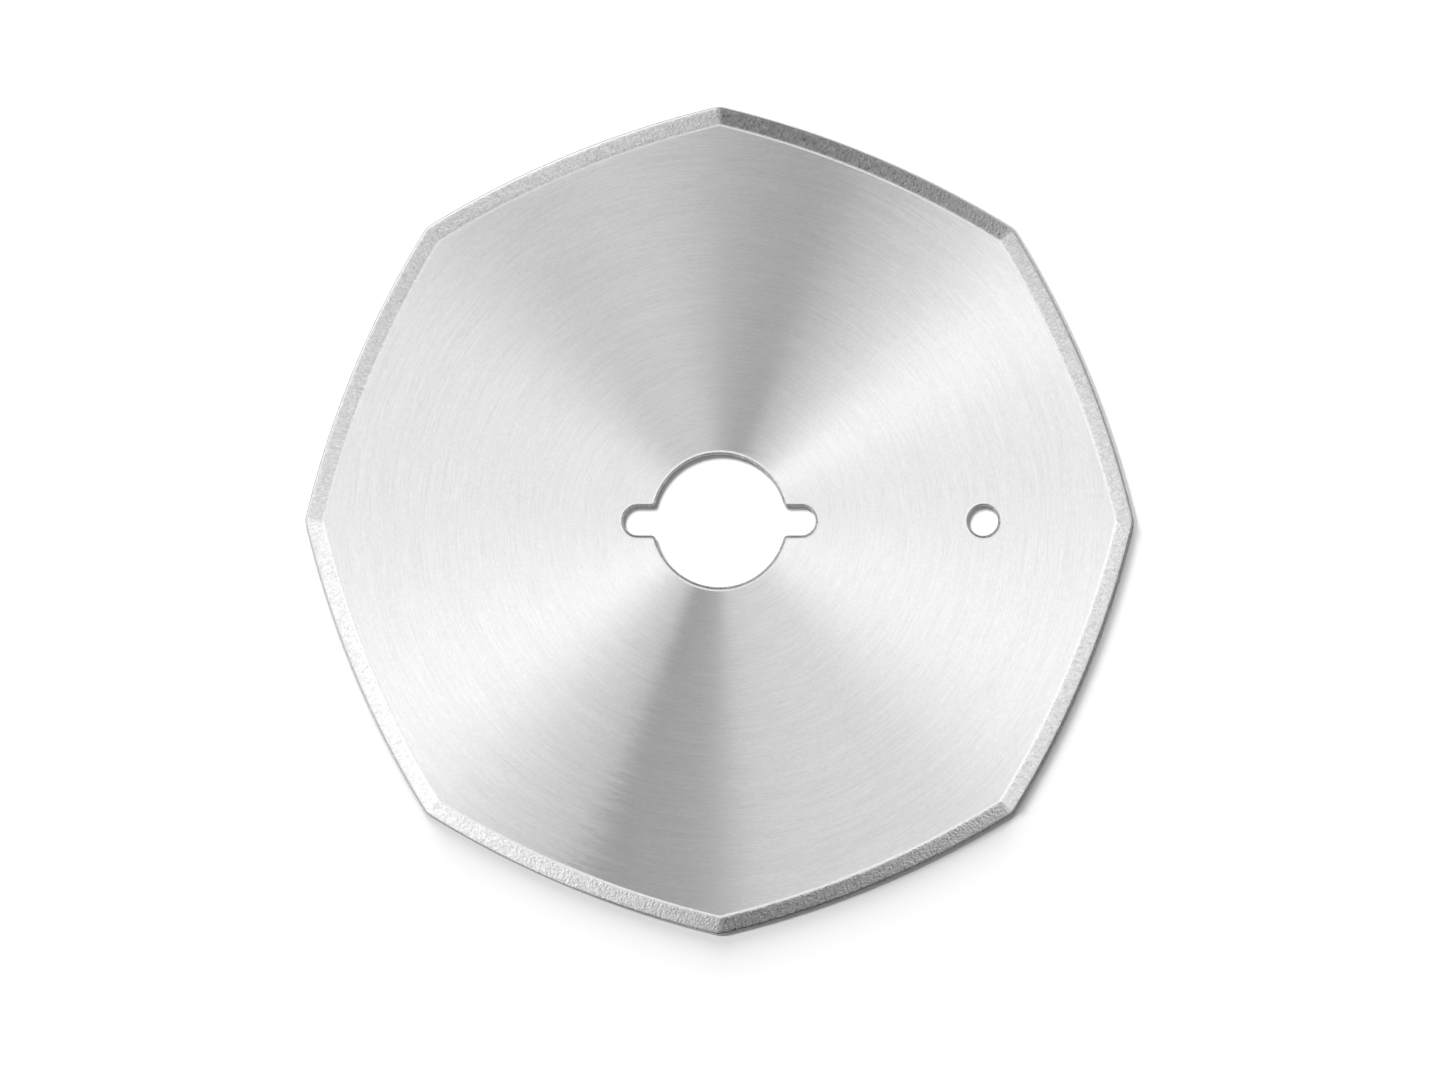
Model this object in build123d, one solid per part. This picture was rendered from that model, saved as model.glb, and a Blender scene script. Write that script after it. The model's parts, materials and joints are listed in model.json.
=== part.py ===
from build123d import *
from math import asin, cos, degrees, radians, sin, sqrt, tan
import os

# An octagonal rotary blade for a cloth cutter, ground on one face only.
# It lies on its flat back, with its origin on the bore axis at that face and +X towards the pin hole.
# All lengths are in millimetres and all angles in degrees.

# Blank
sides = 8
across_corners = 100.0
side_arc_radius = 117.0
thickness = 1.2

# Ground rim, from the cutting edge inwards
edge_bevel_width = 0.28
edge_bevel_angle = 38.0
main_bevel_angle = 27.0
crest_width = 0.16
crest_angle = 12.0
face_corner_radius = 0.15

# Keyed bore and the hole beside it
bore_diameter = 16.0
keyway_width = 3.5
keyway_span = 23.2
pin_hole_diameter = 3.6
pin_hole_distance = 31.8

# Edges of the holes
front_edge_radius = 0.4
back_edge_chamfer = 0.1
keyway_mouth_radius = 0.2

# The rim's section, as steps inwards and upwards from the cutting edge
edge_bevel_height = edge_bevel_width * tan(radians(edge_bevel_angle))
crest_height = crest_width * tan(radians(crest_angle))
main_bevel_height = thickness - edge_bevel_height - crest_height
main_bevel_width = main_bevel_height / tan(radians(main_bevel_angle))
rim_width = edge_bevel_width + main_bevel_width + crest_width
rim_section = [
    (0.0, 0.0),
    (edge_bevel_width, edge_bevel_height),
    (edge_bevel_width + main_bevel_width, edge_bevel_height + main_bevel_height),
    (rim_width, thickness),
]

# The outline's arcs: a corner arc touches the bows of both sides from within
pitch = 360 / sides
corner_radius = rim_width + face_corner_radius
corner_centre_distance = across_corners / 2 - corner_radius
centres_apart = side_arc_radius - corner_radius
half_chord = corner_centre_distance * sin(radians(pitch / 2))
side_centre_distance = sqrt(centres_apart**2 - half_chord**2) - corner_centre_distance * cos(radians(pitch / 2))
side_turn = 2 * degrees(asin(half_chord / centres_apart))
corner_turn = pitch - side_turn


def at_angle(distance, direction):
    """The point at a distance from the bore axis, in a direction from +X."""
    return (distance * cos(radians(direction)), distance * sin(radians(direction)))


def blade_outline(inset, height):
    """The outline moved inwards by an inset: every arc keeps its centre and loses radius."""
    with BuildSketch(Plane.XY.offset(height)) as outline:
        with BuildLine():
            for corner in range(sides):
                corner_direction = corner * pitch
                side_direction = corner_direction + pitch / 2
                CenterArc(
                    at_angle(corner_centre_distance, corner_direction),
                    corner_radius - inset,
                    corner_direction - corner_turn / 2,
                    corner_turn,
                )
                CenterArc(
                    at_angle(-side_centre_distance, side_direction),
                    side_arc_radius - inset,
                    side_direction - side_turn / 2,
                    side_turn,
                )
        make_face()
    return outline.sketch


def keyed_bore():
    """The bore with two opposite keyways, round-ended and eased at their mouths."""
    with BuildSketch() as bore:
        Circle(bore_diameter / 2)
        SlotOverall(keyway_span, keyway_width)
        mouths = bore.vertices().sort_by_distance((0, 0, 0))[:4]
        fillet(mouths, front_edge_radius + keyway_mouth_radius)
    return bore.sketch


def pin_hole():
    """The round hole that takes the locating pin of the clamp."""
    with BuildSketch() as hole:
        with Locations((pin_hole_distance, 0)):
            Circle(pin_hole_diameter / 2)
    return hole.sketch


def hole_edges(face):
    """The edges round the holes in a face."""
    return [edge for wire in face.inner_wires() for edge in wire.edges()]


def ground_blade():
    """The whole blade: a blank with a faceted rim, and rounded edges at its holes."""
    with BuildPart() as blade:
        loft([blade_outline(inset, height) for inset, height in rim_section], ruled=True)
        extrude(keyed_bore(), thickness, mode=Mode.SUBTRACT)
        extrude(pin_hole(), thickness, mode=Mode.SUBTRACT)
        fillet(hole_edges(blade.faces().sort_by(Axis.Z)[-1]), front_edge_radius)
        chamfer(hole_edges(blade.faces().sort_by(Axis.Z)[0]), back_edge_chamfer)
    return blade.part


os.makedirs("parts", exist_ok=True)
export_step(ground_blade(), "parts/blade.step")
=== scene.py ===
import json
from math import asin, atan2, ceil, cos, pi, radians, sin, sqrt, tan

import bpy
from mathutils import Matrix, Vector, geometry, noise


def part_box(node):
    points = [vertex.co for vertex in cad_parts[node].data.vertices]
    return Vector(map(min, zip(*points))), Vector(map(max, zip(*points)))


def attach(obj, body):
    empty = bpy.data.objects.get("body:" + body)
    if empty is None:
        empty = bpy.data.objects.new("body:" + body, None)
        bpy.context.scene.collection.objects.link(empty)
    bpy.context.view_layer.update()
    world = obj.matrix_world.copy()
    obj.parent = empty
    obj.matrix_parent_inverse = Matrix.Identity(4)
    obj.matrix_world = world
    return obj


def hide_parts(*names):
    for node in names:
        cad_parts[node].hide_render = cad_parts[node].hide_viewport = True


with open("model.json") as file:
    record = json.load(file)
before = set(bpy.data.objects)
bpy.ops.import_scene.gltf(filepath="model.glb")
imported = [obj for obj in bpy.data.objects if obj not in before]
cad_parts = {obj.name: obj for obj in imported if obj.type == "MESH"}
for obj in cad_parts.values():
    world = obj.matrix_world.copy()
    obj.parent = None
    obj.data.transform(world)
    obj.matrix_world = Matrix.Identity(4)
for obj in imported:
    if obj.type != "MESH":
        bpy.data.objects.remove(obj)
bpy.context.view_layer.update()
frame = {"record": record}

MM = 0.001

# Sizes read from the frame, in metres
MOUNTS = {mount["name"]: mount for mount in frame["record"]["mounts"]}
BLADE_LOW, BLADE_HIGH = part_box("blade")
ACROSS_CORNERS = BLADE_HIGH.x - BLADE_LOW.x
THICKNESS = BLADE_HIGH.z - BLADE_LOW.z
BORE_RADIUS = MOUNTS["arbor_bore"]["dims"]["r_mm"] * MM
PIN_HOLE_RADIUS = MOUNTS["pin_hole"]["dims"]["r_mm"] * MM
PIN_HOLE_X = MOUNTS["pin_hole"]["pos_m"][0]

# Sizes that the frame doesn't state, as they are in the part
SIDES = 8
SIDE_ARC_RADIUS = 117.0 * MM
EDGE_BEVEL_WIDTH = 0.28 * MM
EDGE_BEVEL_SLOPE = tan(radians(38.0))
MAIN_BEVEL_SLOPE = tan(radians(27.0))
CREST_WIDTH = 0.16 * MM
CREST_SLOPE = tan(radians(12.0))
FACE_CORNER_RADIUS = 0.15 * MM
KEYWAY_WIDTH = 3.5 * MM
KEYWAY_SPAN = 23.2 * MM
FRONT_EDGE_RADIUS = 0.4 * MM
BACK_EDGE_CHAMFER = 0.1 * MM
KEYWAY_MOUTH_RADIUS = 0.2 * MM

# The rim's section, worked out from the cutting edge inwards
EDGE_BEVEL_HEIGHT = EDGE_BEVEL_WIDTH * EDGE_BEVEL_SLOPE
CREST_HEIGHT = CREST_WIDTH * CREST_SLOPE
MAIN_BEVEL_WIDTH = (THICKNESS - EDGE_BEVEL_HEIGHT - CREST_HEIGHT) / MAIN_BEVEL_SLOPE
RIM_WIDTH = EDGE_BEVEL_WIDTH + MAIN_BEVEL_WIDTH + CREST_WIDTH

# The outline's arcs: a corner arc touches the bows of both sides from within
PITCH = 2 * pi / SIDES
CORNER_RADIUS = RIM_WIDTH + FACE_CORNER_RADIUS
CORNER_CENTRE = ACROSS_CORNERS / 2 - CORNER_RADIUS
CENTRES_APART = SIDE_ARC_RADIUS - CORNER_RADIUS
HALF_CHORD = CORNER_CENTRE * sin(PITCH / 2)
SIDE_CENTRE = sqrt(CENTRES_APART**2 - HALF_CHORD**2) - CORNER_CENTRE * cos(PITCH / 2)
SIDE_TURN = 2 * asin(HALF_CHORD / CENTRES_APART)
CORNER_TURN = PITCH - SIDE_TURN

# Steps along the outline's arcs, along one quarter of the keyed bore, and round the pin hole
SIDE_STEPS = 330
CORNER_STEPS = 14
KEYWAY_END_STEPS = 14
KEYWAY_SIDE_STEPS = 4
KEYWAY_MOUTH_STEPS = 8
BORE_STEPS = 30
PIN_HOLE_STEPS = 72

# Rows of faces on the rim's ground zones and on a hole's rounded front edge
HONED_ROWS = 2
MAIN_BEVEL_ROWS = 6
CREST_ROWS = 2
EDGE_ROUNDING_ROWS = 10

# Points inside a flat face: near its edge as (depth, stride in columns), then in even rings
FACE_EDGE_POINTS = ((0.35 * MM, 4), (1.0 * MM, 12), (2.4 * MM, 24))
FACE_RING_SPACING = 2.4 * MM
FACE_RING_MARGIN = 4.0 * MM

# Worn metal with a painted highlight: its width on the face beside the crest and the holes, and its
# reach over the holes' edges
CREST_MARGIN = 0.12 * MM
HOLE_MARGIN = 0.10 * MM
WORN_AND_HIGHLIGHT_TILT = radians(18.0)

# How far the borders between the ground zones stray, and the noise that they stray by
HONED_STRAY = 0.06 * MM
CREST_STRAY = 0.11 * MM
CREST_STRAY_MIDDLE = 0.3
STRAY_LENGTH = 0.5 * MM
FINE_STRAY_SCALE = 2.7
FINE_STRAY_SHARE = 0.6
HONED_SEED = 0.0
CREST_SEED = 50.0

# Materials on the blade's mesh, in slot order
FACE, CREST, BEVEL, HONED, WALL = range(5)


def add_object(name, data):
    """A new object in the scene."""
    made = bpy.data.objects.new(name, data)
    bpy.context.scene.collection.objects.link(made)
    return made


def polar(distance, angle):
    """A flat point or way, at an angle in radians from +X."""
    return Vector((distance * cos(angle), distance * sin(angle)))


def rim_columns():
    """Columns round the outline, each with its foot, its way outwards and the length so far."""
    columns = []
    length = 0.0
    for corner in range(SIDES):
        corner_angle = corner * PITCH
        side_angle = corner_angle + PITCH / 2
        arcs = (
            (polar(CORNER_CENTRE, corner_angle), CORNER_RADIUS, corner_angle, CORNER_TURN, CORNER_STEPS),
            (polar(-SIDE_CENTRE, side_angle), SIDE_ARC_RADIUS, side_angle, SIDE_TURN, SIDE_STEPS),
        )
        for centre, radius, middle, turn, steps in arcs:
            for step in range(steps):
                outwards = polar(1.0, middle + turn * (step / steps - 0.5))
                foot = centre + radius * outwards
                columns.append((foot, outwards, length + radius * turn * step / steps))
            length += radius * turn
    return columns, length


def stray(point, seed):
    """How far a border strays at a place on the rim, mostly between -1 and 1."""
    place = Vector((point.x, point.y, 0.0)) / STRAY_LENGTH
    shift = Vector((0.0, 0.0, seed))
    return noise.noise(place + shift) + FINE_STRAY_SHARE * noise.noise(FINE_STRAY_SCALE * place + shift)


def rim_height(inset):
    """The height of the ground rim at an inset from the cutting edge."""
    on_edge_bevel = inset * EDGE_BEVEL_SLOPE
    on_main_bevel = EDGE_BEVEL_HEIGHT + (inset - EDGE_BEVEL_WIDTH) * MAIN_BEVEL_SLOPE
    on_crest = THICKNESS - (RIM_WIDTH - inset) * CREST_SLOPE
    return min(on_edge_bevel, on_main_bevel, on_crest, THICKNESS)


def rim_section(honed_stray, crest_stray):
    """The rim's section at one column, as (inset, height) from the cutting edge up to the face."""
    honed_end = EDGE_BEVEL_WIDTH + HONED_STRAY * honed_stray
    bevel_end = EDGE_BEVEL_WIDTH + MAIN_BEVEL_WIDTH + CREST_STRAY * (crest_stray - CREST_STRAY_MIDDLE)
    insets = [honed_end * row / HONED_ROWS for row in range(HONED_ROWS)]
    for row in range(MAIN_BEVEL_ROWS + 1):
        insets.append(honed_end + (bevel_end - honed_end) * row / MAIN_BEVEL_ROWS)
    insets += [RIM_WIDTH, RIM_WIDTH + CREST_MARGIN]
    return [(inset, rim_height(inset)) for inset in insets]


def arc_columns(centre, radius, start, turn, steps, side=1):
    """Columns on an arc, with side 1 if the metal lies outside the arc and -1 if it lies inside."""
    columns = []
    for step in range(steps):
        way = polar(1.0, start + turn * step / steps)
        columns.append((centre + radius * way, side * way))
    return columns


def mirrored(columns, x_sign, y_sign):
    """The columns in the other order, on the far side of an axis."""
    signs = Vector((x_sign, y_sign))
    return [(foot * signs, inwards * signs) for foot, inwards in reversed(columns)]


def bore_columns():
    """Columns round the keyed bore: a point on its wall, and the way into the metal."""
    mouth = FRONT_EDGE_RADIUS + KEYWAY_MOUTH_RADIUS
    half_width = KEYWAY_WIDTH / 2
    mouth_y = half_width + mouth
    mouth_centre = Vector((sqrt((BORE_RADIUS + mouth) ** 2 - mouth_y**2), mouth_y))
    mouth_angle = atan2(mouth_centre.y, mouth_centre.x)
    mouth_turn = mouth_angle - pi / 2
    end_centre = Vector((KEYWAY_SPAN / 2 - half_width, 0.0))
    upwards = Vector((0.0, 1.0))
    quarter = arc_columns(end_centre, half_width, 0.0, pi / 2, KEYWAY_END_STEPS)
    for step in range(KEYWAY_SIDE_STEPS):
        x = end_centre.x + (mouth_centre.x - end_centre.x) * step / KEYWAY_SIDE_STEPS
        quarter.append((Vector((x, half_width)), upwards))
    quarter += arc_columns(mouth_centre, mouth, -pi / 2, mouth_turn, KEYWAY_MOUTH_STEPS, side=-1)
    quarter += arc_columns(Vector((0.0, 0.0)), BORE_RADIUS, mouth_angle, -mouth_turn, BORE_STEPS)
    quarter.append((Vector((0.0, BORE_RADIUS)), upwards))
    half = quarter + mirrored(quarter[:-1], -1, 1)
    return half + mirrored(half[1:-1], 1, -1)


def pin_hole_columns():
    """Columns round the pin hole, like the bore's."""
    return arc_columns(Vector((PIN_HOLE_X, 0.0)), PIN_HOLE_RADIUS, 0.0, 2 * pi, PIN_HOLE_STEPS)


def hole_section():
    """A hole's section, as (distance into the metal, height) from the front face to the back face."""
    section = [(FRONT_EDGE_RADIUS + HOLE_MARGIN, THICKNESS)]
    for row in range(EDGE_ROUNDING_ROWS + 1):
        tilt = pi / 2 * row / EDGE_ROUNDING_ROWS
        height = THICKNESS - FRONT_EDGE_RADIUS * (1 - cos(tilt))
        section.append((FRONT_EDGE_RADIUS * (1 - sin(tilt)), height))
    section.append((0.0, BACK_EDGE_CHAMFER))
    section.append((BACK_EDGE_CHAMFER, 0.0))
    return section


def is_inside(point, outline):
    """Whether a point lies inside a closed outline, by the edges crossed on the way out of it."""
    inside = False
    for a, b in zip(outline, outline[1:] + outline[:1]):
        if (a.y > point.y) != (b.y > point.y):
            crossing = a.x + (point.y - a.y) * (b.x - a.x) / (b.y - a.y)
            if crossing > point.x:
                inside = not inside
    return inside


def triangulate(points, edges):
    """Triangles between closed outlines in a plane, each as three numbers of the given points."""
    metres_to_mm = 1 / MM
    fill_outlines = 1
    merge_distance = 1e-6
    in_mm = [point * metres_to_mm for point in points]
    result = geometry.delaunay_2d_cdt(in_mm, edges, [], fill_outlines, merge_distance)
    _, _, triangles, origins, _, _ = result
    return [[origins[corner][0] for corner in triangle] for triangle in triangles]


class MeshMaker:
    """Gathers points and faces for one mesh, with a material and a rim coordinate for each."""

    def __init__(self):
        self.points = []
        self.faces = []
        self.materials = []
        self.rim_uvs = []

    def ring(self, points):
        """Adds one closed ring of points and gives back their numbers."""
        first = len(self.points)
        self.points += points
        return list(range(first, len(self.points)))

    def flat_points(self, numbers):
        """The points of those numbers, without their heights."""
        return [Vector(self.points[number][:2]) for number in numbers]

    def face(self, corners, material, rim_uv=None):
        """Adds one face."""
        self.faces.append(corners)
        self.materials.append(material)
        self.rim_uvs.append(rim_uv)

    def band(self, lower, upper, material, rim=None):
        """Joins two rings by quads. rim gives the lengths along them and the insets of the two."""
        for here in range(len(lower)):
            after = (here + 1) % len(lower)
            rim_uv = None
            if rim:
                lengths, low, high = rim
                start, end = lengths[here : here + 2]
                rim_uv = ((start, low), (end, low), (end, high), (start, high))
            self.face((lower[here], lower[after], upper[after], upper[here]), material, rim_uv)

    def flat(self, outer, holes, inner_points, height, facing_up, material):
        """Fills a flat face between an outer ring and the rings of its holes, with points inside it."""
        numbers = []
        edges = []
        for ring in [outer, *holes]:
            first = len(numbers)
            edges += [(first + step, first + (step + 1) % len(ring)) for step in range(len(ring))]
            numbers += ring
        numbers += self.ring([(point.x, point.y, height) for point in inner_points])
        hole_outlines = [self.flat_points(hole) for hole in holes]
        for triangle in triangulate(self.flat_points(numbers), edges):
            corners = [numbers[corner] for corner in triangle]
            a, b, c = self.flat_points(corners)
            if any(is_inside((a + b + c) / 3, outline) for outline in hole_outlines):
                continue
            anticlockwise = (b - a).cross(c - a) > 0
            self.face(corners if anticlockwise == facing_up else corners[::-1], material)

    def build(self, name, materials):
        """The mesh as a new smooth object, with its rim coordinates as a UV layer."""
        mesh = bpy.data.meshes.new(name)
        mesh.from_pydata(self.points, [], self.faces)
        for material in materials:
            mesh.materials.append(material)
        mesh.polygons.foreach_set("material_index", self.materials)
        mesh.polygons.foreach_set("use_smooth", [True] * len(self.faces))
        layer = mesh.uv_layers.new(name="rim")
        for polygon, uvs in zip(mesh.polygons, self.rim_uvs):
            for corner, loop in enumerate(polygon.loop_indices):
                if uvs:
                    layer.uv[loop].vector = uvs[corner]
                else:
                    layer.uv[loop].vector = mesh.vertices[polygon.vertices[corner]].co.xy
        mesh.update()
        return add_object(name, mesh)


def face_points(columns, inset):
    """Points inside a flat face: a few that thin out from the dense rim, then evenly spaced rings."""
    points = []
    for depth, stride in FACE_EDGE_POINTS:
        points += [foot - (inset + depth) * outwards for foot, outwards, _ in columns[::stride]]
    pin_hole = Vector((PIN_HOLE_X, 0.0))
    clear = PIN_HOLE_RADIUS + FACE_RING_SPACING
    radius = KEYWAY_SPAN / 2 + FACE_RING_SPACING
    reach = ACROSS_CORNERS / 2 * cos(PITCH / 2) - inset - FACE_RING_MARGIN
    while radius < reach:
        count = ceil(2 * pi * radius / FACE_RING_SPACING)
        ring = [polar(radius, 2 * pi * step / count) for step in range(count)]
        points += [point for point in ring if (point - pin_hole).length > clear]
        radius += FACE_RING_SPACING
    return points


def rim_rings(maker, columns, perimeter):
    """Adds the ground rim, from the cutting edge up to the face and a little over it."""
    lengths = [length for _, _, length in columns] + [perimeter]
    sections = [rim_section(stray(foot, HONED_SEED), stray(foot, CREST_SEED)) for foot, _, _ in columns]
    middle_section = rim_section(0.0, 0.0)
    rings = []
    for row in range(len(middle_section)):
        points = []
        for (foot, outwards, _), section in zip(columns, sections):
            inset, height = section[row]
            points.append((*(foot - inset * outwards), height))
        rings.append(maker.ring(points))
    zones = [HONED] * HONED_ROWS + [BEVEL] * MAIN_BEVEL_ROWS + [CREST] * CREST_ROWS
    for row, zone in enumerate(zones):
        insets = (middle_section[row][0], middle_section[row + 1][0])
        maker.band(rings[row], rings[row + 1], zone, rim=(lengths, *insets))
    return rings


def hole_rings(maker, columns):
    """Adds a hole's rounded front edge, its wall and its chamfered back edge."""
    rings = []
    for depth, height in hole_section():
        rings.append(maker.ring([(*(foot + depth * inwards), height) for foot, inwards in columns]))
    # Rows up to this tilt take the crest's worn steel, whose lighter tone paints a highlight line round
    # the hole
    worn_and_highlight_rows = 1 + round(EDGE_ROUNDING_ROWS * WORN_AND_HIGHLIGHT_TILT / (pi / 2))
    for row in range(len(rings) - 1):
        # The steeper rows and the wall take the wall's sheared steel, whose darker tone paints shade
        maker.band(rings[row], rings[row + 1], CREST if row < worn_and_highlight_rows else WALL)
    return rings


def make_blade(materials):
    """The whole blade as one closed mesh."""
    maker = MeshMaker()
    columns, perimeter = rim_columns()
    rim = rim_rings(maker, columns, perimeter)
    bore = hole_rings(maker, bore_columns())
    pin_hole = hole_rings(maker, pin_hole_columns())
    front_points = face_points(columns, RIM_WIDTH + CREST_MARGIN)
    back_points = face_points(columns, 0.0)
    maker.flat(rim[-1], [bore[0], pin_hole[0]], front_points, THICKNESS, True, FACE)
    maker.flat(rim[0], [bore[-1], pin_hole[-1]], back_points, 0.0, False, FACE)
    return maker.build("blade_ground", materials)


# Where the middle values of a noise texture lie
NOISE_MIDDLE = (0.3, 0.7)


class Nodes:
    """Short calls for building a node tree, most of which give back a socket."""

    def __init__(self, tree):
        self.tree = tree
        tree.nodes.clear()

    def add(self, kind, **settings):
        """A new node with some of its settings."""
        node = self.tree.nodes.new(kind)
        for name, value in settings.items():
            setattr(node, name, value)
        return node

    def link(self, source, target):
        """Links a socket to a target socket, or sets the target to a plain value."""
        if isinstance(source, bpy.types.NodeSocket):
            self.tree.links.new(source, target)
        else:
            target.default_value = source

    def math(self, operation, *values):
        """One operation on sockets or numbers."""
        node = self.add("ShaderNodeMath", operation=operation)
        for socket, value in zip(node.inputs, values):
            self.link(value, socket)
        return node.outputs[0]

    def plus(self, first, second):
        """The sum of two."""
        return self.math("ADD", first, second)

    def times(self, first, second):
        """The product of two."""
        return self.math("MULTIPLY", first, second)

    def vector(self, x, y, z):
        """A vector from its three parts."""
        node = self.add("ShaderNodeCombineXYZ")
        for socket, value in zip(node.inputs, (x, y, z)):
            self.link(value, socket)
        return node.outputs[0]

    def unit(self, vector):
        """The vector at a length of 1."""
        node = self.add("ShaderNodeVectorMath", operation="NORMALIZE")
        self.link(vector, node.inputs[0])
        return node.outputs[0]

    def split(self, vector):
        """The three parts of a vector."""
        node = self.add("ShaderNodeSeparateXYZ")
        self.link(vector, node.inputs[0])
        return node.outputs

    def span(self, value, low, high, out_low=0.0, out_high=1.0, smooth=False):
        """The value carried from one range to another, and held at its ends."""
        node = self.add("ShaderNodeMapRange", interpolation_type="SMOOTHSTEP" if smooth else "LINEAR")
        for name, number in (("Value", value), ("From Min", low), ("From Max", high)):
            self.link(number, node.inputs[name])
        self.link(out_low, node.inputs["To Min"])
        self.link(out_high, node.inputs["To Max"])
        return node.outputs[0]

    def blend(self, start, end, share):
        """Start at a share of 0 and end at a share of 1."""
        return self.plus(self.times(self.math("SUBTRACT", end, start), share), start)

    def noise(self, place, scale=1.0, detail=2.0, roughness=0.5):
        """A noise texture, mostly between 0.3 and 0.7."""
        node = self.add("ShaderNodeTexNoise")
        self.link(place, node.inputs["Vector"])
        node.inputs["Scale"].default_value = scale
        node.inputs["Detail"].default_value = detail
        node.inputs["Roughness"].default_value = roughness
        return node.outputs[0]

    def marked(self, tone, marks, strength):
        """A tone that marks make lighter and darker by up to a strength."""
        return self.plus(self.span(marks, *NOISE_MIDDLE, -strength, strength), tone)

    def grey(self, value):
        """A grey colour."""
        node = self.add("ShaderNodeCombineColor")
        for socket in node.inputs:
            self.link(value, socket)
        return node.outputs[0]

    def bump(self, height, distance):
        """A normal that follows the slopes of a relief, where a height of 1 is the distance."""
        node = self.add("ShaderNodeBump")
        node.inputs["Distance"].default_value = distance
        self.link(height, node.inputs["Height"])
        return node.outputs[0]

    def object_place(self):
        """The shaded point in the object's own space."""
        return self.add("ShaderNodeTexCoord").outputs["Object"]

    def rim_place(self):
        """How far along the rim the shaded point lies, and how far in from the cutting edge."""
        along, inset, _ = self.split(self.add("ShaderNodeUVMap", uv_map="rim").outputs[0])
        return along, inset


def new_material(name, shader_kind):
    """A new material of one shader, with its nodes and the shader."""
    material = bpy.data.materials.new(name)
    material.use_nodes = True
    nodes = Nodes(material.node_tree)
    shader = nodes.add(shader_kind)
    output = nodes.add("ShaderNodeOutputMaterial")
    nodes.link(shader.outputs[0], output.inputs["Surface"])
    return material, nodes, shader


def new_steel(name):
    """A new metal, with its nodes and its shader."""
    material, nodes, shader = new_material(name, "ShaderNodeBsdfPrincipled")
    shader.inputs["Metallic"].default_value = 1.0
    return material, nodes, shader


# Face: streaks as (turns, rings, detail, strength), and the slopes at which the grain wavers and leans
FACE_TONE = 0.82
FACE_STREAKS = (
    (4.0, 7000.0, 1.0, 0.030),
    (14.0, 5600.0, 2.0, 0.022),
    (70.0, 6000.0, 2.0, 0.038),
    (1.5, 690.0, 1.0, 0.008),
)
FACE_ROUGHNESS = 0.28
GRAIN_WAVER = 0.055
GRAIN_WAVER_CIRCLES = (9.0, 4200.0, 2.0)
GRAIN_WAVER_SPAN = (0.2, 0.8)
GRAIN_LEAN = tan(radians(3.0))
LEAST_RADIUS = 0.1 * MM


def face_material():
    """Steel ground in fine circles round the bore, a little unevenly, so the grain wavers."""
    material, nodes, shader = new_steel("steel_ground_in_circles")
    x, y, _ = nodes.split(nodes.object_place())
    radius = nodes.math("SQRT", nodes.plus(nodes.times(x, x), nodes.times(y, y)))
    divisor = nodes.math("MAXIMUM", radius, LEAST_RADIUS)
    out_x = nodes.math("DIVIDE", x, divisor)
    out_y = nodes.math("DIVIDE", y, divisor)

    def circles(turns, rings, detail):
        """Noise drawn out along circles, shorter with more turns and narrower with more rings."""
        along_x = nodes.times(out_x, turns)
        along_y = nodes.times(out_y, turns)
        return nodes.noise(nodes.vector(along_x, along_y, nodes.times(radius, rings)), detail=detail)

    tone = FACE_TONE
    for turns, rings, detail, strength in FACE_STREAKS:
        tone = nodes.marked(tone, circles(turns, rings, detail), strength)
    nodes.link(nodes.grey(tone), shader.inputs["Base Color"])
    shader.inputs["Roughness"].default_value = FACE_ROUGHNESS
    shader.inputs["Anisotropic"].default_value = 1.0
    waver = nodes.span(circles(*GRAIN_WAVER_CIRCLES), *GRAIN_WAVER_SPAN, -GRAIN_WAVER, GRAIN_WAVER)
    across_x = nodes.math("SUBTRACT", out_x, nodes.times(out_y, waver))
    across_y = nodes.plus(out_y, nodes.times(out_x, waver))
    nodes.link(nodes.vector(across_x, across_y, 0.0), shader.inputs["Tangent"])
    normal_x, normal_y, normal_z = nodes.split(nodes.add("ShaderNodeNewGeometry").outputs["Normal"])
    lean_x = nodes.plus(normal_x, nodes.times(out_x, GRAIN_LEAN))
    lean_y = nodes.plus(normal_y, nodes.times(out_y, GRAIN_LEAN))
    nodes.link(nodes.unit(nodes.vector(lean_x, lean_y, normal_z)), shader.inputs["Normal"])
    return material


# Crest: tones as (darkest, lightest), set lighter than the face's so that the worn metal also carries a
# painted bright highlight line
CREST_WEAR_AND_HIGHLIGHT_TONES = (0.86, 1.0)
CREST_SCALE = 2500.0
CREST_ROUGHNESS = 0.4


def crest_material():
    """The worn line where the bevel meets the face, with its tone raised to paint a bright highlight."""
    material, nodes, shader = new_steel("steel_crest_worn_and_highlight")
    wear_and_highlight = nodes.noise(nodes.object_place(), scale=CREST_SCALE)
    tone = nodes.span(wear_and_highlight, *NOISE_MIDDLE, *CREST_WEAR_AND_HIGHLIGHT_TONES)
    nodes.link(nodes.grey(tone), shader.inputs["Base Color"])
    shader.inputs["Roughness"].default_value = CREST_ROUGHNESS
    return material


# Main bevel: marks as (slant, scale, stretch, detail), and how strongly three of them mark its tone
BEVEL_GRAIN = (0.25, 3000.0, 2.8, 2.0)
BEVEL_BURNISH = (-0.4, 3600.0, 2.6, 2.0)
BEVEL_PITS = (0.0, 3400.0, 1.0, 2.0)
BEVEL_CLOUDS = (0.0, 800.0, 1.0, 1.0)
BEVEL_MARK_ROUGHNESS = 0.6
BEVEL_TONE = 0.76
BEVEL_GRAIN_STRENGTH = 0.08
BEVEL_PITS_STRENGTH = 0.09
BEVEL_CLOUDS_STRENGTH = 0.03
BEVEL_BURNISH_SPAN = (0.25, 0.75)
BEVEL_ROUGHNESSES = (0.23, 0.43)
BEVEL_RELIEF = 0.05 * MM
BEVEL_GRAIN_RELIEF = 0.4


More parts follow.
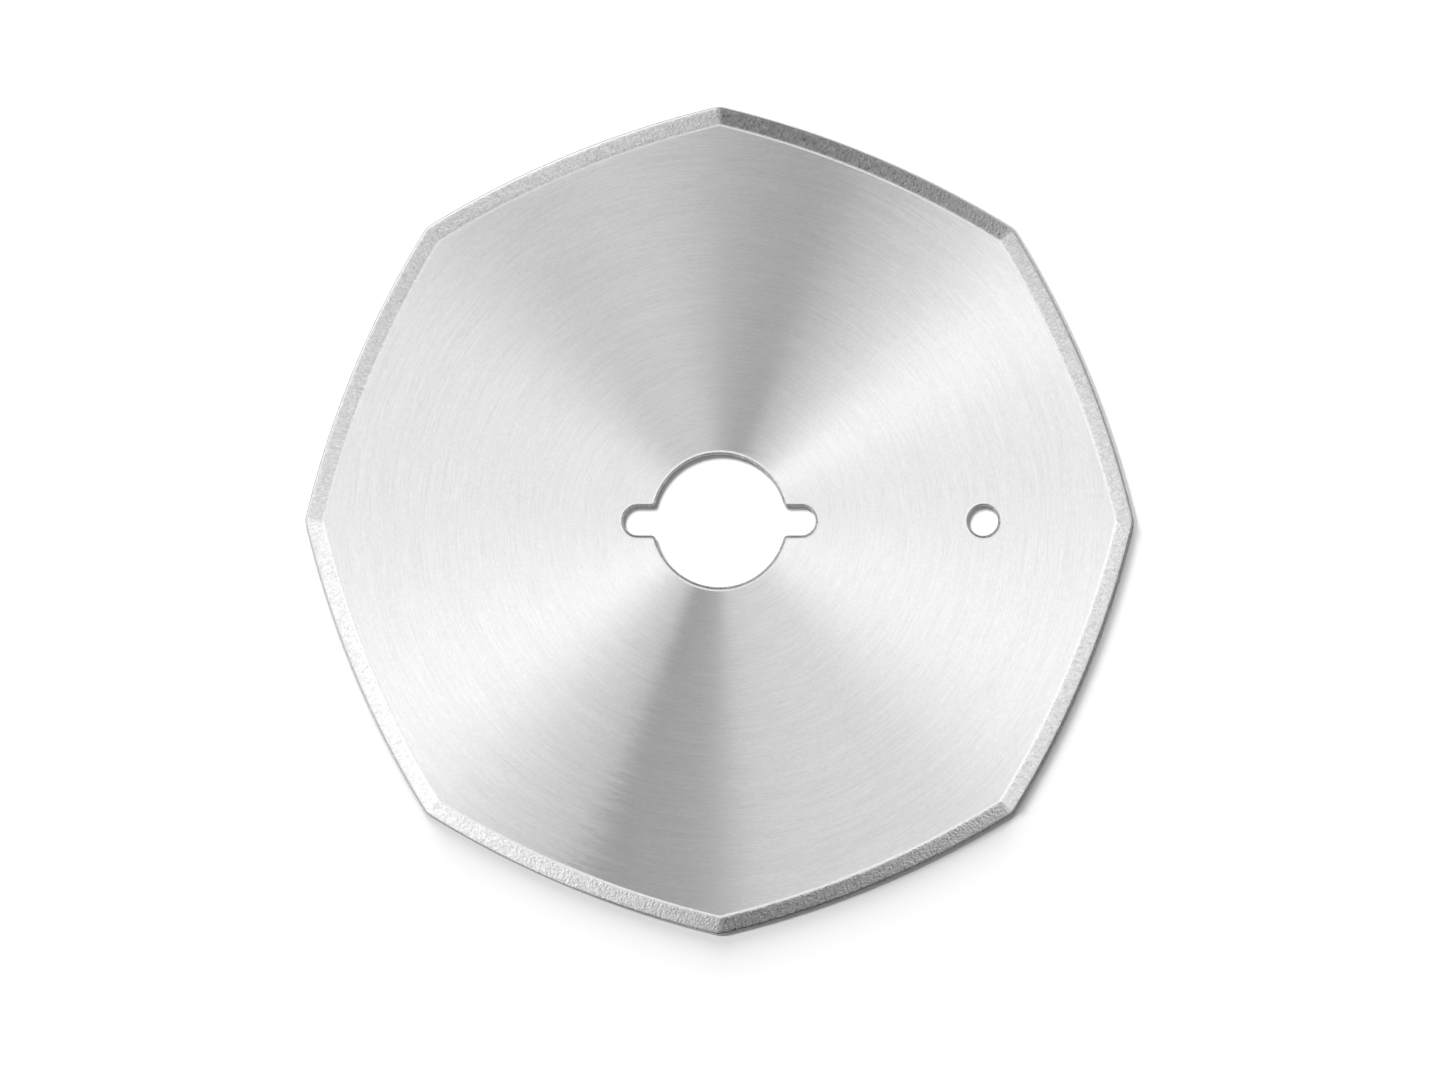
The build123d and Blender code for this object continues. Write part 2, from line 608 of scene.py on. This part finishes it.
def bevel_material():
    """Steel ground roughly across the bevel."""
    material, nodes, shader = new_steel("steel_rough_ground")
    along, inset = nodes.rim_place()

    def strokes(slant, scale, stretch, detail):
        """Marks across the rim, slanting and drawn out."""
        leaning = nodes.plus(along, nodes.times(inset, slant))
        place = nodes.vector(leaning, nodes.math("DIVIDE", inset, stretch), 0.0)
        return nodes.noise(place, scale=scale, detail=detail, roughness=BEVEL_MARK_ROUGHNESS)

    grain = strokes(*BEVEL_GRAIN)
    pits = strokes(*BEVEL_PITS)
    tone = nodes.marked(BEVEL_TONE, grain, BEVEL_GRAIN_STRENGTH)
    tone = nodes.marked(tone, pits, BEVEL_PITS_STRENGTH)
    tone = nodes.marked(tone, strokes(*BEVEL_CLOUDS), BEVEL_CLOUDS_STRENGTH)
    nodes.link(nodes.grey(tone), shader.inputs["Base Color"])
    roughness = nodes.span(strokes(*BEVEL_BURNISH), *BEVEL_BURNISH_SPAN, *BEVEL_ROUGHNESSES)
    nodes.link(roughness, shader.inputs["Roughness"])
    relief = nodes.plus(nodes.times(grain, BEVEL_GRAIN_RELIEF), pits)
    nodes.link(nodes.bump(relief, BEVEL_RELIEF), shader.inputs["Normal"])
    return material


# Honed edge: lines as (scale along the rim, scale across it), and tones as (darkest, lightest)
HONED_LINES = (900.0, 14000.0)
HONED_TONES = (0.66, 0.76)
HONED_ROUGHNESS = 0.16


def honed_material():
    """The cutting edge, honed smooth."""
    material, nodes, shader = new_steel("steel_honed")
    along, inset = nodes.rim_place()
    scale_along, scale_across = HONED_LINES
    place = nodes.vector(nodes.times(along, scale_along), nodes.times(inset, scale_across), 0.0)
    tone = nodes.span(nodes.noise(place), *NOISE_MIDDLE, *HONED_TONES)
    nodes.link(nodes.grey(tone), shader.inputs["Base Color"])
    shader.inputs["Roughness"].default_value = HONED_ROUGHNESS
    return material


# Hole walls: tears drawn out along the axis, and tones as (darkest, lightest), kept dark as painted
# shade on the walls and on the steep part of the holes' rounded edges
WALL_TEAR_SCALE = 5200.0
WALL_TEAR_SQUEEZE = 0.25
WALL_AND_SHADE_TONES = (0.30, 0.60)
WALL_ROUGHNESS = 0.5
WALL_RELIEF = 0.015 * MM


def wall_material():
    """Sheared metal on the walls of the holes and the steep part of their rounded edges, darker than the
    ground faces as painted shade.
    """
    material, nodes, shader = new_steel("steel_sheared_and_shaded")
    x, y, z = nodes.split(nodes.object_place())
    tears = nodes.noise(nodes.vector(x, y, nodes.times(z, WALL_TEAR_SQUEEZE)), scale=WALL_TEAR_SCALE)
    tone = nodes.span(tears, *NOISE_MIDDLE, *WALL_AND_SHADE_TONES)
    nodes.link(nodes.grey(tone), shader.inputs["Base Color"])
    shader.inputs["Roughness"].default_value = WALL_ROUGHNESS
    nodes.link(nodes.bump(tears, WALL_RELIEF), shader.inputs["Normal"])
    return material


steels = [face_material(), crest_material(), bevel_material(), honed_material(), wall_material()]
blade = make_blade(steels)
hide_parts("blade")
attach(blade, "root")

# Floor, a little below the blade, in two parts that meet unseen under it
FLOOR_SIZE = 6.0
FLOOR_DROP = 0.15 * MM
FLOOR_WHITE = 1.0
WELL_RADIUS = 40.0 * MM
WELL_SIDES = 96


def paper_material():
    """Plain white paper."""
    material, _, shader = new_material("white_paper", "ShaderNodeBsdfDiffuse")
    shader.inputs["Color"].default_value = (FLOOR_WHITE, FLOOR_WHITE, FLOOR_WHITE, 1.0)
    return material


def make_floor_part(name, points, faces, material):
    """One flat part of the floor."""
    mesh = bpy.data.meshes.new(name)
    mesh.from_pydata([(point.x, point.y, -FLOOR_DROP) for point in points], [], faces)
    mesh.materials.append(material)
    floor = add_object(name, mesh)
    return floor


def make_floor():
    """The floor round the blade, and the well of floor that shows through the holes."""
    material = paper_material()
    rim = [polar(WELL_RADIUS, 2 * pi * step / WELL_SIDES) for step in range(WELL_SIDES)]
    far = [point * (FLOOR_SIZE / 2 / WELL_RADIUS) for point in rim]
    around = []
    for here in range(WELL_SIDES):
        after = (here + 1) % WELL_SIDES
        around.append((here, WELL_SIDES + here, WELL_SIDES + after, after))
    make_floor_part("floor", rim + far, around, material)
    return make_floor_part("floor_well", rim, [tuple(range(WELL_SIDES))], material)


floor_well = make_floor()

# Lamps that light the floor: azimuth, elevation and spread in degrees, and a share of the floor's white
LAMPS = {
    "overhead": (0.0, 90.0, 50.0, 0.14),
    "back": (97.0, 13.0, 22.0, 0.38),
    "side": (154.0, 22.0, 8.0, 0.48),
    "well": (124.0, 58.0, 18.0, 0.86),
}


def make_lamp(name, azimuth, elevation, spread, share):
    """A sun that the steel doesn't reflect, strong enough to light bare floor to its share."""
    sun = bpy.data.lights.new(name, "SUN")
    sun.angle = radians(spread)
    sun.energy = share * pi / sin(radians(elevation))
    lamp = add_object(name, sun)
    way = Vector((*polar(cos(radians(elevation)), radians(azimuth)), sin(radians(elevation))))
    lamp.rotation_euler = way.to_track_quat("Z", "Y").to_euler()
    lamp.visible_glossy = False
    return lamp


def link_lamp(lamp, floor_part, state):
    """Lets a lamp light one part of the floor only, or everything else."""
    lit = bpy.data.collections.new(lamp.name + "_lit")
    lit.objects.link(floor_part)
    lit.collection_objects[0].light_linking.link_state = state
    lamp.light_linking.receiver_collection = lit


lamps = {name: make_lamp(name, *settings) for name, settings in LAMPS.items()}

# The low lamps' long shadows would fill the holes, so a steeper lamp stands in for them there
link_lamp(lamps["back"], floor_well, "EXCLUDE")
link_lamp(lamps["side"], floor_well, "EXCLUDE")
link_lamp(lamps["well"], floor_well, "INCLUDE")

# Studio that the steel reflects, in zones from overhead down to the horizon, as shares of white
HIGH_BRIGHT = 0.89
LOW_BRIGHT = 1.15
HORIZON_BRIGHT = 0.05

# Angles from overhead at which a zone starts to take over from the one above it, and has done so
MIDDLE_FROM_ZENITH = (22.0, 28.0)
LOW_FROM_ZENITH = (38.0, 48.0)
HORIZON_FROM_ZENITH = (68.0, 76.0)

# Soft bands in each zone, as (azimuth of the centre, half width, strength), with the angles in degrees
HIGH_BANDS = (
    (75.0, 22.0, -0.24),
    (114.0, 38.0, -0.38),
    (251.0, 34.0, -0.63),
    (338.0, 40.0, 0.60),
    (206.0, 39.0, 0.46),
    (296.0, 16.0, 0.24),
    (36.0, 15.0, 0.54),
    (247.0, 15.0, -0.26),
    (129.0, 12.0, -0.08),
    (142.0, 12.0, 0.04),
    (159.0, 14.0, -0.06),
)
MIDDLE_BANDS = (
    (70.0, 32.0, -0.64),
    (250.0, 22.0, 1.42),
    (271.0, 21.0, 0.80),
)
LOW_BANDS = (
    (70.0, 56.0, -0.84),
    (285.0, 36.0, -1.24),
    (152.0, 122.0, -1.07),
    (204.0, 101.0, 1.03),
    (108.0, 15.0, 0.97),
    (264.0, 20.0, -0.82),
    (246.0, 6.0, 0.57),
)
HORIZON_BANDS = (
    (131.0, 140.0, 1.43),
    (84.0, 32.0, -0.77),
    (125.0, 60.0, 0.33),
)

# Dark cards with crisp sides, as (azimuth of one side, azimuth of the other, strength)
MIDDLE_CARDS = ((247.0, 273.0, -1.41),)
LOW_CARDS = ((247.0, 255.0, -1.36),)
CARD_SOFTNESS = 2.0

# Strength of the world for rays that come neither from the camera nor off the steel
FILL_SHARE = 0.05


def studio_zone(nodes, azimuth, bright, bands, cards=()):
    """The brightness round one zone of the studio, with its bands and cards added to it."""
    half_turn = 180.0
    shapes = [(centre, 0.0, half_width, strength) for centre, half_width, strength in bands]
    for start, end, strength in cards:
        half_width = (end - start) / 2
        shapes.append((start + half_width, half_width - CARD_SOFTNESS, half_width, strength))
    for centre, full, half_width, strength in shapes:
        apart = nodes.math("WRAP", nodes.math("SUBTRACT", azimuth, centre), half_turn, -half_turn)
        shape = nodes.span(nodes.math("ABSOLUTE", apart), full, half_width, strength, 0.0, smooth=True)
        bright = nodes.plus(shape, bright)
    return bright


def make_world():
    """The studio for the steel, plain white for the camera and a weak even fill for the rest."""
    world = bpy.data.worlds.new("studio")
    bpy.context.scene.world = world
    world.use_nodes = True
    # The studio isn't sampled as a lamp, since rays off the steel find it by themselves
    world.cycles.sampling_method = "NONE"
    nodes = Nodes(world.node_tree)
    x, y, z = nodes.split(nodes.add("ShaderNodeTexCoord").outputs["Generated"])
    azimuth = nodes.math("DEGREES", nodes.math("ARCTAN2", y, x))
    from_zenith = nodes.math("DEGREES", nodes.math("ARCCOSINE", z))
    high = studio_zone(nodes, azimuth, HIGH_BRIGHT, HIGH_BANDS)
    middle = studio_zone(nodes, azimuth, high, MIDDLE_BANDS, MIDDLE_CARDS)
    low = studio_zone(nodes, azimuth, LOW_BRIGHT, LOW_BANDS, LOW_CARDS)
    horizon = studio_zone(nodes, azimuth, HORIZON_BRIGHT, HORIZON_BANDS)
    studio = nodes.blend(high, middle, nodes.span(from_zenith, *MIDDLE_FROM_ZENITH, smooth=True))
    studio = nodes.blend(studio, low, nodes.span(from_zenith, *LOW_FROM_ZENITH, smooth=True))
    studio = nodes.blend(studio, horizon, nodes.span(from_zenith, *HORIZON_FROM_ZENITH, smooth=True))
    path = nodes.add("ShaderNodeLightPath")
    white = nodes.math("MAXIMUM", path.outputs["Is Camera Ray"], path.outputs["Is Transmission Ray"])
    lit = nodes.blend(FILL_SHARE, studio, path.outputs["Is Glossy Ray"])
    background = nodes.add("ShaderNodeBackground")
    background.inputs["Color"].default_value = (1.0, 1.0, 1.0, 1.0)
    nodes.link(nodes.blend(lit, 1.0, white), background.inputs["Strength"])
    output = nodes.add("ShaderNodeOutputWorld")
    nodes.link(background.outputs[0], output.inputs["Surface"])


make_world()

# Camera: the photograph's frame, with the blade's centre a little above and left of its middle
PHOTO_WIDTH = 1448
PHOTO_HEIGHT = 1086
PIXELS_PER_MM = 8.3
CENTRE_PIXEL = (719.5, 520.8)
LENS = 120.0
SENSOR = 36.0
NEAREST_SEEN = 10.0 * MM


def make_camera():
    """A camera that looks straight down, from where the photo's frame covers its real width."""
    camera = add_object("camera", bpy.data.cameras.new("camera"))
    camera.data.lens = LENS
    camera.data.sensor_width = SENSOR
    camera.data.clip_start = NEAREST_SEEN
    frame_width = PHOTO_WIDTH / PIXELS_PER_MM * MM
    x = (PHOTO_WIDTH / 2 - CENTRE_PIXEL[0]) / PIXELS_PER_MM * MM
    y = (CENTRE_PIXEL[1] - PHOTO_HEIGHT / 2) / PIXELS_PER_MM * MM
    camera.location = (x, y, THICKNESS + frame_width * LENS / SENSOR)
    bpy.context.scene.camera = camera


make_camera()
bpy.context.scene.view_settings.view_transform = "Standard"
